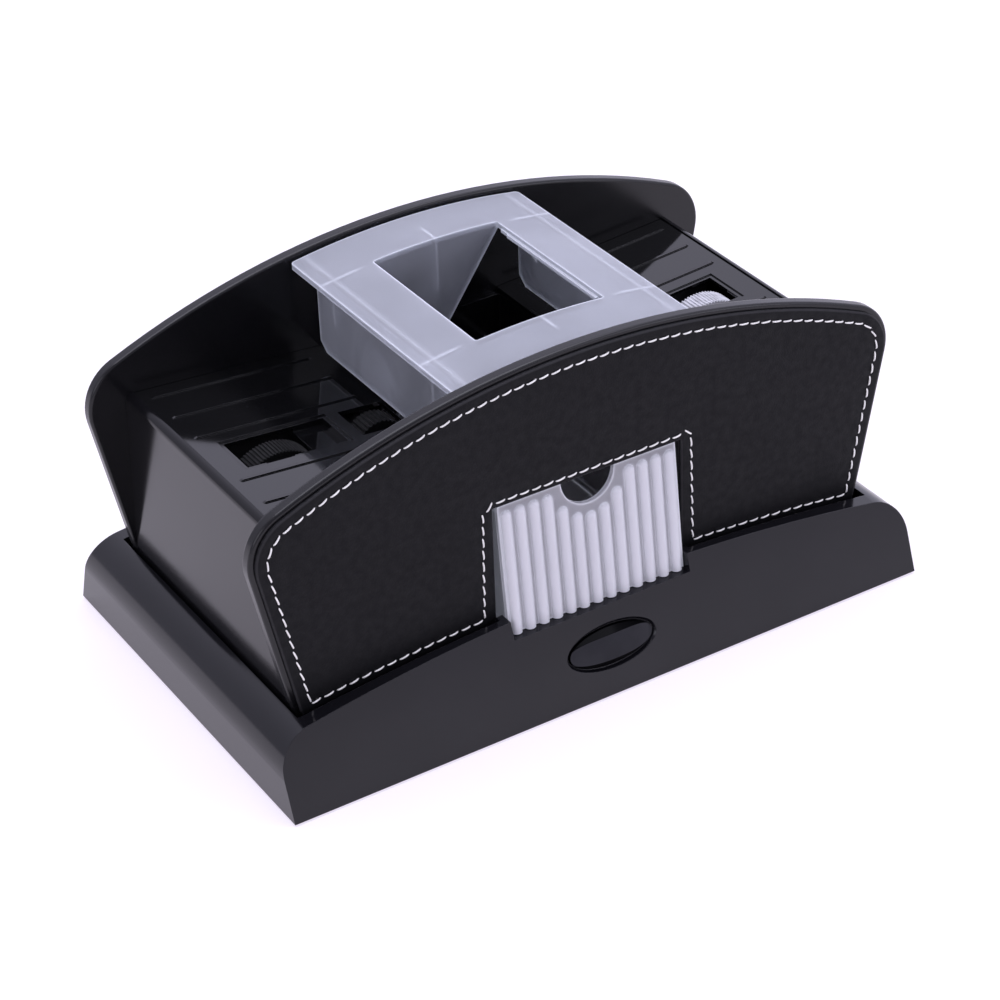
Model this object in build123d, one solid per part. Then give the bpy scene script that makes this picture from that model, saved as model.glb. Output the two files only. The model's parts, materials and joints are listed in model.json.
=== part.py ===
"""Automatic card shuffler with leather-covered side panels, two hoppers and a card drawer.

X runs along the length, the front face looks towards -Y and +Z is up.
The origin is on the resting surface, under the middle of the base. Units are millimetres.
"""

from build123d import *
from math import acos, cos, hypot, pi, radians, sin, sqrt, tan
import os

# ---------------------------------------------------------------- driving dimensions
# base
base_half_length = 125.0
base_half_depth = 77.7
base_bottom_z = 0.8
base_crown_z = 36.8
base_arch_radius = 806.0
base_end_fillet = 14.0
base_face_slope = 0.35
base_wall = 2.4
opening_half_x = 113.6
opening_half_y = 62.4
bottom_cover_top = 3.0
foot_radius = 7.0
foot_recess = 1.2
boss_radius = 3.2
pilot_radius = 1.3
pilot_depth = 10.0
screw_head_radius = 2.7
screw_head_height = 1.2

# body shell
shell_foot_x = 113.3
shell_end_slope = 0.0322
shell_half_y = 53.5
shell_wall = 2.2
rim_top_z = 90.8
chamber_half_x = 35.8
chamber_wall = 1.6
side_floor_z = 26.0
drawer_floor_z = 30.0
drawer_floor_thickness = 2.6
rim_rounding = 2.7

# feed platforms
platform_outer_x = 107.4
platform_inner_x = 36.2
platform_half_y = 53.3
platform_drop = 0.077
platform_datum_x = 104.0
platform_datum_z = 90.0
platform_thickness = 1.6
feed_window = (60.3, 97.3, 8.6)
ejector_window = (38.4, 54.6, 8.7)
platform_rib_ys = (-46.9, -31.3, -15.7, 15.7, 31.3, 46.9)
platform_rib_half_width = 0.45
platform_rib_height = 0.5
window_step = 1.4
shelf_end_x = 71.6
shelf_depth = 3.0
shelf_thickness = 1.2

# side panels and leather
panel_apex_z = 126.1
panel_arch_radius = 285.0
panel_foot_x = 111.8
panel_foot_z = 24.0
panel_flare = 0.2014
panel_corner = 18.4
panel_outer_y = 58.2
leather_outer_y = 59.6
leather_inset = 2.0
leather_foot_apex_z = 34.2
cutout_half_x = 36.6
cutout_top_z = 77.6

# top cover
cover_half_x = 45.6
cover_half_y = 52.6
cover_apex_z = 124.2
cover_arch_radius = 272.0
cover_thickness = 2.0
cover_window_x = 24.6
cover_window_y = 32.7
skirt_x = 41.0
skirt_wall = 1.6
skirt_bottom_z = 90.0
skirt_half_y = 43.2
guide_thickness = 1.6
guide_tip_z = 86.0
gusset_foot_z = 103.0
gusset_y = 32.0

# drawer
drawer_half_x = 34.8
drawer_bottom_z = 30.1
drawer_front_top_z = 77.0
drawer_front_bottom_y = -63.9
drawer_front_top_y = -58.7
drawer_wall = 1.6
drawer_back_y = 49.6
drawer_side_top_z = 64.0
drawer_rib_count = 13
drawer_rib_pitch = 5.32
drawer_rib_radius = 2.0
notch_radius = 10.4
drawer_clearance = 0.35

# start button, on the sloping front face
button_z = 16.7
button_recess = (17.8, 8.0)
button_recess_depth = 1.3
button_hole = (16.7, 6.8)
button_cap = (16.3, 6.4)
button_shoulder_depth = -0.5
button_crown = (12.8, 3.7)
button_crown_height = 2.4
button_dome_radius = 48.0
button_dome_top = 2.0
stem_radius = 2.2
stem_end = -9.3
bracket_front = -7.5
bracket_thickness = 1.4
bracket_screw_x = 21.5
flange_back = -3.5
flange_front = -2.5
switch_front = -11.4
switch_back = -15.6
plunger_radius = 1.2

# drive train of one hopper: (x, z) of each axle, for the left side
gear_module = 0.8
pressure_angle = radians(20)
feed_axle = (-85.8, 73.2)
ejector_axle = (-46.4, 77.8)
feed_roller_radius = 16.8
ejector_roller_radius = 9.2
feed_roller_y = (-7.6, 0.6)
ejector_roller_y = (-5.4, 2.8)
feed_teeth = 28
ejector_teeth = 12
idler_small_teeth = 40
idler_large_teeth = 42
pinion_teeth = 10
small_gear_y = (17.2, 21.2)
large_gear_y = (22.0, 26.0)
axle_radius = 2.0
running_clearance = 0.05
motor_offset_x = -7.3
motor_radius = 12.0
motor_back_y = -16.0
motor_boss_radius = 3.0
motor_shaft_radius = 1.0
motor_screw_offsets = (-8, 8)
bush_radius = 3.5
frame_x = (-100.0, -39.6)
frame_back_y = (14.0, 16.4)
frame_front_y = (-20.4, -18.0)
frame_floor_top = 28.5
feed_rim_radius = 13.2
feed_ridges = 84
ejector_rim_radius = 5.6
ejector_ridges = 34
ridge_depth = 0.5

# batteries: four AA cells lying along Y
cell_radius = 7.1
cell_half_length = 24.5
cell_z = 12.6
cell_xs = (-96.35, -81.45, -66.55, -51.65)
cell_nub_length = 1.2
holder_x = (-106.0, -42.0)
holder_half_y = 30.0
holder_wall = 1.4


# ---------------------------------------------------------------- helpers
def block(x0, x1, y0, y1, z0, z1):
    """A box given by its limits."""
    centre = ((x0 + x1) / 2, (y0 + y1) / 2, (z0 + z1) / 2)
    return Pos(*centre) * Box(abs(x1 - x0), abs(y1 - y0), abs(z1 - z0))


def along_y(sketch, y0, y1):
    """Extrudes a sketch drawn in (X, Z) from y0 to y1."""
    plane = Plane(origin=(0, y1, 0), x_dir=(1, 0, 0), z_dir=(0, -1, 0))
    return extrude(plane * sketch, amount=y1 - y0)


def along_x(sketch, x0, x1):
    """Extrudes a sketch drawn in (Y, Z) from x0 to x1."""
    plane = Plane(origin=(x0, 0, 0), x_dir=(0, 1, 0), z_dir=(1, 0, 0))
    return extrude(plane * sketch, amount=x1 - x0)


def polygon(*points):
    return make_face(Polyline(*points, close=True))


def rod_y(x, z, radius, y0, y1):
    return along_y(Pos(x, z) * Circle(radius), y0, y1)


def rod_z(x, y, radius, z0, z1):
    return Pos(x, y, (z0 + z1) / 2) * Cylinder(radius, z1 - z0)


def arch_height(x, apex, radius):
    """Height at x of a circular arch with its top at (0, apex)."""
    return apex - radius + sqrt(radius**2 - x**2)


def arch_face(half, apex, radius, floor_z):
    """The area between floor_z and a circular arch, as wide as 2 * half."""
    shoulder = arch_height(half, apex, radius)
    arch = ThreePointArc((-half, shoulder), (0, apex), (half, shoulder))
    sides = Polyline((half, shoulder), (half, floor_z), (-half, floor_z), (-half, shoulder))
    return make_face([arch, *sides.edges()])


def both_sides(part):
    """The part and its mirror image across the middle of the length."""
    return part + mirror(part, about=Plane.YZ)


def front_and_back(part):
    """The part and its mirror image across the middle of the depth."""
    return part + mirror(part, about=Plane.XZ)


def save(name, shape):
    export_step(shape, f"parts/{name}.step")


def group(solids):
    """Separate solids kept together in one node."""
    return Compound(children=list(solids))


# ---------------------------------------------------------------- base
def base_block(inset, floor_z):
    """The base's outer form, or its cavity when inset: bullnose ends and sloping faces."""
    half = base_half_length - inset
    radius = base_arch_radius - inset
    profile = arch_face(half, base_crown_z - inset, radius, floor_z)
    shoulders = profile.vertices().group_by(Axis.Y)[-1]
    profile = fillet(shoulders, base_end_fillet - inset)
    foot_y = base_half_depth - inset * hypot(1, base_face_slope)
    top_z = base_crown_z + 10
    low_y = foot_y - base_face_slope * (floor_z - base_bottom_z)
    top_y = foot_y - base_face_slope * (top_z - base_bottom_z)
    depth = polygon((-low_y, floor_z), (low_y, floor_z), (top_y, top_z), (-top_y, top_z))
    return along_y(profile, -90, 90) & along_x(depth, -130, 130)


def face_y(z):
    """The front face of the base at height z."""
    return -(base_half_depth - base_face_slope * (z - base_bottom_z))


def button_plane():
    """A plane on the base's front face at the button, +Z outwards and +Y up the slope."""
    normal = Vector(0, -1, base_face_slope).normalized()
    return Plane(origin=(0, face_y(button_z), button_z), x_dir=(1, 0, 0), z_dir=normal)


def in_button_plane(sketch, low, high):
    """Extrudes a sketch drawn on the button's plane from depth low to depth high."""
    return button_plane() * extrude(Pos(0, 0, low) * sketch, amount=high - low)


base_boss_places = [(sx * 118.0, sy * 40.0) for sx in (-1, 1) for sy in (-1, 1)]
base_boss_places += [(sx * 62.0, sy * 67.5) for sx in (-1, 1) for sy in (-1, 1)]
shell_boss_places = [(sx * 107.5, sy * 47.5) for sx in (-1, 1) for sy in (-1, 1)]
foot_places = [(sx * 106.0, sy * 63.0) for sx in (-1, 1) for sy in (-1, 1)]


def base_housing():
    outer = base_block(0, base_bottom_z)
    housing = outer - base_block(base_wall, base_bottom_z - 1)
    for x, y in base_boss_places:
        housing += rod_z(x, y, boss_radius, bottom_cover_top, base_crown_z + 2) & outer
    # closed pocket that the drawer's front stands in
    lip = drawer_half_x + drawer_clearance
    pocket_back = -60.2
    pocket_floor = drawer_floor_z - 2.5
    pocket = block(-lip - base_wall, lip + base_wall, -90, pocket_back, pocket_floor, 45)
    housing += pocket & outer
    mouth = block(-opening_half_x, opening_half_x, -opening_half_y, opening_half_y, 20, 60)
    pocket_wall = block(-lip - base_wall, lip + base_wall, -63, pocket_back, pocket_floor, 45)
    housing -= mouth - pocket_wall
    housing -= block(-lip, lip, -90, -50, drawer_floor_z - 0.1, 60)
    # dished recess, hole and fixing posts for the start button
    dish_floor = Ellipse(button_hole[0] + 0.25, button_hole[1] + 0.25)
    dish = loft(
        [
            button_plane() * Pos(0, 0, 0.01) * Ellipse(*button_recess),
            button_plane() * Pos(0, 0, -button_recess_depth) * dish_floor,
        ]
    )
    housing -= dish
    housing -= in_button_plane(Ellipse(*button_hole), -base_wall - 1, 1)
    for x in (-bracket_screw_x, bracket_screw_x):
        housing += in_button_plane(Pos(x, 0) * Circle(2.6), bracket_front, -base_wall + 0.3)
        housing -= in_button_plane(Pos(x, 0) * Circle(1.0), bracket_front - 1, -base_wall - 0.6)
    for x, y in base_boss_places:
        housing -= rod_z(x, y, pilot_radius, 0, bottom_cover_top + pilot_depth)
    return housing


door_flange = (-106.6, -41.4, -30.6, 30.6)
door_hole = (-104.0, -44.0, -28.0, 28.0)


def base_bottom_cover():
    half_x = base_half_length - base_wall - 0.3
    half_y = 73.4
    plate = block(-half_x, half_x, -half_y, half_y, base_bottom_z, bottom_cover_top)
    plate = fillet(plate.edges().filter_by(Axis.Z), 3)
    x0, x1, y0, y1 = door_flange
    plate -= block(x0, x1, y0, y1, 0, base_bottom_z + 1.2)
    x0, x1, y0, y1 = door_hole
    plate -= block(x0, x1, y0, y1, 0, 5)
    for x, y in base_boss_places + shell_boss_places:
        plate -= rod_z(x, y, screw_head_radius + 0.3, 0, base_bottom_z + screw_head_height + 0.1)
        plate -= rod_z(x, y, pilot_radius + 0.3, 0, 5)
    for x, y in foot_places:
        plate -= rod_z(x, y, foot_radius, 0, base_bottom_z + foot_recess)
    return plate


def battery_door():
    x0, x1, y0, y1 = door_flange
    gap = 0.3
    flange_top = base_bottom_z + 1.1
    door = block(x0 + gap, x1 - gap, y0 + gap, y1 - gap, base_bottom_z, flange_top)
    x0, x1, y0, y1 = door_hole
    door += block(x0 + gap, x1 - gap, y0 + gap, y1 - gap, flange_top, bottom_cover_top)
    # grip ridges beside the latch
    for step in range(5):
        x = (x0 + x1) / 2 - 8 + 4 * step
        door -= block(x - 0.6, x + 0.6, 18, 26, base_bottom_z - 1, base_bottom_z + 0.5)
    return door


def rubber_feet():
    return group(
        rod_z(x, y, foot_radius, 0, base_bottom_z + foot_recess) for x, y in foot_places
    )


def screw_up(x, y, head_z, shank_top):
    """A screw driven upwards, its head at the bottom."""
    slot_half_length = 1.9
    slot_half_width = 0.4
    slot_top = head_z + screw_head_height / 2
    head = rod_z(x, y, screw_head_radius, head_z, head_z + screw_head_height)
    slot = block(
        x - slot_half_length, x + slot_half_length, y - slot_half_width, y + slot_half_width, 0, slot_top
    )
    cross = block(
        x - slot_half_width, x + slot_half_width, y - slot_half_length, y + slot_half_length, 0, slot_top
    )
    shank = rod_z(x, y, pilot_radius - 0.05, head_z + screw_head_height, shank_top)
    return head + shank - slot - cross


def bottom_screws():
    places = base_boss_places + shell_boss_places
    return group(screw_up(x, y, base_bottom_z + 0.1, 11.5) for x, y in places)


# ---------------------------------------------------------------- body shell
def shell_end_x(z):
    """Outer face of the end wall at height z."""
    return shell_foot_x - shell_end_slope * (z - bottom_cover_top)


def platform_top(x):
    """Height of the sloping feed platform at a distance x from the middle."""
    return platform_datum_z + platform_drop * (x - platform_datum_x)


def platform_underside(x):
    return platform_top(x) - platform_thickness


def body_shell():
    foot = bottom_cover_top
    end_foot, end_top = shell_end_x(foot), shell_end_x(rim_top_z)
    outline = polygon(
        (-end_foot, foot), (end_foot, foot), (end_top, rim_top_z), (-end_top, rim_top_z)
    )
    shell = along_y(outline, -shell_half_y, shell_half_y)
    inner_y = shell_half_y - shell_wall
    wall_x = chamber_half_x + chamber_wall
    ledge_z = 85.0
    for side in (-1, 1):
        upper = polygon(
            (side * wall_x, side_floor_z),
            (side * (shell_end_x(side_floor_z) - shell_wall), side_floor_z),
            (side * (shell_end_x(ledge_z) - shell_wall), ledge_z),
            (side * 106.0, ledge_z),
            (side * 106.0, 100),
            (side * wall_x, 100),
        )
        lower = polygon(
            (side * wall_x, foot - 1),
            (side * (shell_end_x(foot) - shell_wall), foot - 1),
            (side * (shell_end_x(side_floor_z) - shell_wall), side_floor_z - 2),
            (side * wall_x, side_floor_z - 2),
        )
        shell -= along_y(upper, -inner_y, inner_y)
        shell -= along_y(lower, -inner_y, inner_y)
    shell -= block(-chamber_half_x, chamber_half_x, -inner_y, inner_y, drawer_floor_z, 100)
    floor_underside = drawer_floor_z - drawer_floor_thickness
    shell -= block(-chamber_half_x, chamber_half_x, -inner_y, inner_y, foot - 1, floor_underside)
    # room for the platforms, which rest on the walls
    space_x = platform_outer_x + 0.2
    space = polygon(
        (-space_x, 100),
        (-space_x, platform_underside(space_x)),
        (-chamber_half_x, platform_underside(chamber_half_x)),
        (chamber_half_x, platform_underside(chamber_half_x)),
        (space_x, platform_underside(space_x)),
        (space_x, 100),
    )
    shell -= along_y(space, -60, 60)
    # drawer mouth, with a tongue of floor that reaches the base's pocket
    shell -= block(-chamber_half_x, chamber_half_x, -60, -50, drawer_floor_z, cutout_top_z)
    shell += block(-chamber_half_x, chamber_half_x, -60, -53.4, floor_underside, drawer_floor_z)
    # slots in the chamber walls beside the ejector rollers
    shell -= block(-wall_x - 1, wall_x + 1, -9.5, 9.5, 64, 100)
    for x, y in shell_boss_places:
        shell += rod_z(x, y, boss_radius, foot, side_floor_z - 1)
        shell -= rod_z(x, y, pilot_radius, foot - 1, foot + pilot_depth)
    for x, z in panel_screw_places:
        shell -= rod_y(x, z, 1.5, -60, 60)
    for x, y in frame_screw_places:
        shell -= rod_z(x, y, 1.1, 20, 30)
    top_edges = shell.edges().filter_by(Axis.Y).group_by(Axis.Z)[-1]
    outer_edges = [edge for edge in top_edges if abs(edge.center().X) > space_x + 1]
    return fillet(outer_edges, rim_rounding)


panel_screw_places = [(-96.0, 50.0), (-52.0, 72.0), (52.0, 72.0), (96.0, 50.0)]
frame_screw_places = [(sx * x, y) for sx in (-1, 1) for x in (45.0, 94.0) for y in (-12.0, 8.0)]


def feed_platform_left():
    def slope(x, rise=0.0):
        return (-x, platform_top(x) + rise)

    plate_outline = polygon(
        slope(platform_outer_x),
        slope(platform_inner_x),
        slope(platform_inner_x, -platform_thickness),
        slope(platform_outer_x, -platform_thickness),
    )
    plate = along_y(plate_outline, -platform_half_y, platform_half_y)
    def strip(near, far, low, high):
        """A strip that follows the slope, between two heights measured from the top."""
        return polygon(slope(far, high), slope(near, high), slope(near, low), slope(far, low))

    near_x, far_x, half_y = feed_window
    step = strip(near_x - window_step, far_x + window_step, -0.5, 3)
    plate -= along_y(step, -half_y - window_step, half_y + window_step)
    plate -= block(-far_x, -near_x, -half_y, half_y, 70, 100)
    # sunken shelf at the inner end of the feed window, with walls on three sides
    shelf_bottom = -shelf_depth - shelf_thickness
    shelf = strip(near_x - 1, shelf_end_x, shelf_bottom, -shelf_depth)
    plate += along_y(shelf, -half_y - 1, half_y + 1)
    end_wall = strip(near_x - 1, near_x, shelf_bottom, -1)
    plate += along_y(end_wall, -half_y - 1, half_y + 1)
    side_wall = strip(near_x, shelf_end_x, shelf_bottom, -1)
    plate += front_and_back(along_y(side_wall, half_y, half_y + 1))
    near_x, far_x, half_y = ejector_window
    plate -= block(-far_x, -near_x, -half_y, half_y, 70, 100)
    # low ribs that carry the cards, tapered at both ends
    rib_near, rib_far = 43.0, 104.0
    rib = strip(rib_near, rib_far, -0.3, 0)
    rib += polygon(
        slope(rib_far),
        slope(rib_far - 1, platform_rib_height),
        slope(rib_near + 1, platform_rib_height),
        slope(rib_near),
    )
    for y in platform_rib_ys:
        plate += along_y(rib, y - platform_rib_half_width, y + platform_rib_half_width)
    return plate


# ---------------------------------------------------------------- side panels
def panel_outline():
    """Arched top, sides that flare upwards and rounded shoulders, in (X, Z)."""
    centre_z = panel_apex_z - panel_arch_radius

    def side_x(z):
        return panel_foot_x + panel_flare * (z - panel_foot_z)

    corner_z = panel_apex_z - 28
    for _ in range(20):
        corner_z = centre_z + sqrt(panel_arch_radius**2 - side_x(corner_z) ** 2)
    corner_x = side_x(corner_z)
    arch = ThreePointArc((-corner_x, corner_z), (0, panel_apex_z), (corner_x, corner_z))
    sides = Polyline(
        (corner_x, corner_z),
        (panel_foot_x, panel_foot_z),
        (-panel_foot_x, panel_foot_z),
        (-corner_x, corner_z),
    )
    outline = make_face([arch, *sides.edges()])
    return fillet(outline.vertices().group_by(Axis.Y)[-1], panel_corner)


def drawer_cutout(half_x, top_z):
    return Pos(0, top_z / 2) * Rectangle(2 * half_x, top_z)


def side_panel(y_sign, cutout):
    outline = panel_outline()
    if cutout:
        outline -= drawer_cutout(cutout_half_x, cutout_top_z)
    plate = along_y(outline, shell_half_y, panel_outer_y)
    rounded = [edge for edge in plate.edges() if edge.center().Z > 60 and edge.length > 20]
    rounded = [edge for edge in rounded if edge.center().Z > cutout_top_z + 5 or abs(edge.center().X) > 60]
    plate = fillet(rounded, 1.1)
    # curved ledge under the cover's edge
    ledge_top = cover_apex_z - cover_thickness - 0.2
    ledge = arch_face(41.5, ledge_top, cover_arch_radius, 100)
    ledge -= arch_face(45, ledge_top - 3, cover_arch_radius, 90)
    plate += along_y(ledge, shell_half_y - 2.6, shell_half_y + 0.5)
    for x, z in panel_screw_places:
        plate -= rod_y(x, z, pilot_radius, 50, shell_half_y + 3.4)
    return plate if y_sign > 0 else mirror(plate, about=Plane.XZ)


def leather_pad(y_sign, cutout):
    outline = offset(panel_outline(), -leather_inset)
    outline -= arch_face(130, leather_foot_apex_z, base_arch_radius, -40)
    if cutout:
        outline -= drawer_cutout(cutout_half_x + 0.3, cutout_top_z - 0.2)
    pad = along_y(outline, panel_outer_y, leather_outer_y)
    return pad if y_sign > 0 else mirror(pad, about=Plane.XZ)


def panel_screws():
    screws = []
    for x, z in panel_screw_places:
        screw = rod_y(x, z, 2.7, shell_half_y - shell_wall - 1.3, shell_half_y - shell_wall)
        screw += rod_y(x, z, pilot_radius - 0.05, shell_half_y - shell_wall, shell_half_y + 3.2)
        screws += [screw, mirror(screw, about=Plane.XZ)]
    return group(screws)


# ---------------------------------------------------------------- top cover
def under_cover_arch():
    """Everything below the cover's top surface."""
    return along_y(arch_face(60, cover_apex_z, cover_arch_radius, 80), -60, 60)


def top_cover():
    band = arch_face(cover_half_x, cover_apex_z, cover_arch_radius, 100)
    band -= arch_face(
        cover_half_x + 2, cover_apex_z - cover_thickness, cover_arch_radius - cover_thickness, 90
    )
    flange = along_y(band, -cover_half_y, cover_half_y)
    flange = fillet(flange.edges().filter_by(Axis.Z), 1.5)
    window = block(-cover_window_x, cover_window_x, -cover_window_y, cover_window_y, 100, 130)
    flange -= fillet(window.edges().filter_by(Axis.Z), 0.8)

    skirt_outline = polygon(
        (-skirt_half_y, 125),
        (-skirt_half_y, skirt_bottom_z + 3.3),
        (4 - skirt_half_y, skirt_bottom_z),
        (skirt_half_y - 4, skirt_bottom_z),
        (skirt_half_y, skirt_bottom_z + 3.3),
        (skirt_half_y, 125),
    )
    skirts = both_sides(along_x(skirt_outline, -skirt_x, skirt_wall - skirt_x))

    # inverted triangles that turn the cards down into the drawer
    guide_top = 123.5
    guide_back = cover_window_y + guide_thickness
    guide_outline = polygon(
        (-26.9, guide_top), (-0.7, guide_tip_z), (0.7, guide_tip_z), (26.9, guide_top)
    )
    guides = front_and_back(along_y(guide_outline, cover_window_y, guide_back))

    # gussets between the flange and the skirts, and struts behind the guides
    stiffener_half = 0.6
    stiffener_top = 124
    skirt_inner = skirt_x - skirt_wall
    gusset_outline = polygon(
        (-skirt_inner, stiffener_top), (-skirt_inner, gusset_foot_z), (11 - skirt_inner, stiffener_top)
    )
    gusset = along_y(gusset_outline, gusset_y - stiffener_half, gusset_y + stiffener_half)
    gussets = front_and_back(both_sides(gusset))
    strut_outline = polygon(
        (guide_back, stiffener_top), (guide_back, gusset_foot_z), (guide_back + 10, stiffener_top)
    )
    struts = front_and_back(along_x(strut_outline, -stiffener_half, stiffener_half))

    cover = flange + ((skirts + guides + gussets + struts) & under_cover_arch())
    # stepped lip under the window's right edge
    lip = block(cover_window_x - 1.0, cover_window_x + 1, -29.5, 25.0, 120.5, 121.7)
    lip += block(cover_window_x - 0.5, cover_window_x + 1, 25.0, 29.5, 120.5, 121.7)
    return cover + lip


# ---------------------------------------------------------------- card drawer
def drawer_front_plane():
    """On the outer face at its foot, +Z up the slope and +Y into the drawer."""
    rise = drawer_front_top_z - drawer_bottom_z
    run = drawer_front_top_y - drawer_front_bottom_y
    up = Vector(0, run, rise).normalized()
    return Plane(origin=(0, drawer_front_bottom_y, drawer_bottom_z), x_dir=(1, 0, 0), z_dir=up)


def drawer_rib_top(x):
    """Height where a rib ends: under the rim, or round the finger notch."""
    keep_clear = notch_radius + 3.0
    if abs(x) < keep_clear:
        return drawer_front_top_z + 0.2 - sqrt(keep_clear**2 - x**2)
    return drawer_front_top_z - 1.8


def card_drawer():
    front_wall = 1.8
    front = along_x(
        polygon(
            (drawer_front_bottom_y, drawer_bottom_z),
            (drawer_front_top_y, drawer_front_top_z),
            (drawer_front_top_y + front_wall, drawer_front_top_z),
            (drawer_front_bottom_y + front_wall, drawer_bottom_z),
        ),
        -drawer_half_x,
        drawer_half_x,
    )
    front_plane = drawer_front_plane()
    for index in range(drawer_rib_count):
        x = (index - (drawer_rib_count - 1) / 2) * drawer_rib_pitch
        length = drawer_rib_top(x) - drawer_bottom_z - drawer_rib_radius
        rib = Pos(x, 0.35, length / 2 - 2) * Cylinder(drawer_rib_radius, length + 4)
        rib += Pos(x, 0.35, length) * Sphere(drawer_rib_radius)
        front += front_plane * rib
    below = block(-50, 50, -80, 0, 0, drawer_bottom_z)
    behind = along_x(
        polygon(
            (drawer_front_bottom_y + front_wall, drawer_bottom_z),
            (drawer_front_top_y + front_wall, drawer_front_top_z),
            (0, drawer_front_top_z),
            (0, drawer_bottom_z),
        ),
        -50,
        50,
    )
    front -= below
    front -= behind
    side_half = drawer_half_x - 0.6
    inner_half = side_half - drawer_wall
    foot_y = drawer_front_bottom_y + 1
    top_y = drawer_front_top_y + 1
    side_outline = polygon(
        (foot_y, drawer_bottom_z),
        (drawer_back_y, drawer_bottom_z),
        (drawer_back_y, drawer_side_top_z),
        (-34, drawer_side_top_z),
        (-50, 74),
        (top_y - 0.3, 74),
    )
    tray = along_x(side_outline, -side_half, side_half)
    inner_back = drawer_back_y - drawer_wall
    tray -= block(-inner_half, inner_half, -80, inner_back, drawer_bottom_z + drawer_wall, 90)
    runner = block(-drawer_half_x - 0.1, -side_half, -50, drawer_back_y, 31, 33.5)
    drawer = front + tray + both_sides(runner)
    drawer -= rod_y(0, drawer_front_top_z + 0.2, notch_radius, -70, -40)
    drawer -= rod_y(0, drawer_side_top_z + 8, 20, 40, 60)
    return drawer


# ---------------------------------------------------------------- start button and switch
def start_button():
    """An oval cap whose sloping shoulders meet a domed crown, on a flange and a stem."""
    shoulders = loft(
        [
            button_plane() * Pos(0, 0, button_shoulder_depth) * Ellipse(*button_cap),
            button_plane() * Pos(0, 0, button_crown_height) * Ellipse(*button_crown),
        ]
    )
    dome_centre = button_dome_top - button_dome_radius
    # turned so that the sphere's poles lie away from the cap
    dome = button_plane() * Pos(0, 0, dome_centre) * Rot(90, 0, 0) * Sphere(button_dome_radius)
    cap = in_button_plane(Ellipse(*button_cap), flange_front, button_shoulder_depth)
    cap += shoulders & dome
    flange = in_button_plane(Ellipse(*button_recess), flange_back, flange_front)
    stem = in_button_plane(Circle(stem_radius), stem_end, flange_back)
    return cap + flange + stem


def button_spring():
    """Coil between the button's flange and the switch bracket."""
    wire = 0.25
    gap = 0.05
    low = bracket_front + gap + wire
    high = flange_back - gap - wire
    path = Helix(pitch=0.85, height=high - low, radius=3.2)
    section = Plane(origin=path @ 0, z_dir=path % 0) * Circle(wire)
    coil = sweep(section, path=path)
    return button_plane() * Pos(0, 0, low) * coil


def switch_bracket():
    """A plate behind the button, with two cheeks that hold the switch."""
    plate = Rectangle(2 * bracket_screw_x + 7, 12)
    bracket = in_button_plane(plate, bracket_front - bracket_thickness, bracket_front)
    stem_hole = Circle(stem_radius + running_clearance)
    bracket -= in_button_plane(stem_hole, bracket_front - 2, bracket_front + 1)
    for side in (-1, 1):
        cheek = Pos(side * 6.9, 0) * Rectangle(1.4, 7)
        bracket += in_button_plane(cheek, switch_back, bracket_front - 1)
        screw_hole = Pos(side * bracket_screw_x, 0) * Circle(1.2)
        bracket -= in_button_plane(screw_hole, -12, -5)
    return bracket


def bracket_screws():
    screws = []
    for side in (-1, 1):
        spot = Pos(side * bracket_screw_x, 0)
        seat = bracket_front - bracket_thickness
        head = in_button_plane(spot * Circle(2.2), seat - 1.2, seat)
        shank = in_button_plane(spot * Circle(0.95), seat, -3.6)
        screws.append(head + shank)
    return group(screws)


def start_switch():
    """A push switch with three terminals, and a bore for its plunger."""
    body = in_button_plane(Rectangle(12.2, 6.4), switch_back, switch_front)
    bore = Circle(plunger_radius + running_clearance)
    body -= in_button_plane(bore, switch_back + 1, switch_front + 0.4)
    for x in (-4, 0, 4):
        body += in_button_plane(Pos(x, 0) * Rectangle(1.2, 2.6), switch_back - 1.8, switch_back)
    return body


def switch_plunger():
    return in_button_plane(Circle(plunger_radius), switch_front - 1.4, stem_end)


# ---------------------------------------------------------------- drive train
def involute(angle):
    return tan(angle) - angle


def gear_outline(centre, teeth, tooth_angle):
    """Spur gear outline in (X, Z), with one tooth pointing along tooth_angle."""
    pitch = gear_module * teeth / 2
    base_circle = pitch * cos(pressure_angle)
    tip = pitch + 0.9 * gear_module
    root = pitch - 1.2 * gear_module
    half_at_pitch = pi / (2 * teeth) - 0.07 / pitch

    def half_angle(radius):
        at = acos(min(1.0, base_circle / radius))
        return half_at_pitch + involute(pressure_angle) - involute(at)

    start = max(root + 0.1, base_circle)
    radii = [root, start, (start + pitch) / 2, pitch, (pitch + tip) / 2, tip]
    flank = [(radius, half_angle(max(radius, start))) for radius in radii]
    points = []
    for tooth in range(teeth):
        middle = tooth_angle + 2 * pi * tooth / teeth
        rising = [(radius, middle - half) for radius, half in flank]
        falling = [(radius, middle + half) for radius, half in reversed(flank)]
        for radius, angle in rising + falling:
            points.append((centre[0] + radius * cos(angle), centre[1] + radius * sin(angle)))
    return polygon(*points)


def meshing_angle(centre, teeth, tooth_angle, other_centre, other_teeth):
    """Tooth angle of the other gear that puts its gap on this gear's tooth."""
    dx, dz = other_centre[0] - centre[0], other_centre[1] - centre[1]
    towards = Vector(dx, dz, 0)
    line = radians(Vector(1, 0, 0).get_signed_angle(towards, Vector(0, 0, 1)))
    phase = teeth * (line - tooth_angle) / (2 * pi)
    return line + pi - 2 * pi * (0.5 - phase) / other_teeth


def circle_meeting(first, first_radius, second, second_radius):
    """The lower of the two points at the given distances from two centres."""
    dx, dz = second[0] - first[0], second[1] - first[1]
    span = hypot(dx, dz)
    along = (first_radius**2 - second_radius**2 + span**2) / (2 * span)
    across = sqrt(first_radius**2 - along**2)
    return (
        first[0] + (along * dx + across * dz) / span,
        first[1] + (along * dz - across * dx) / span,
    )


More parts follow.
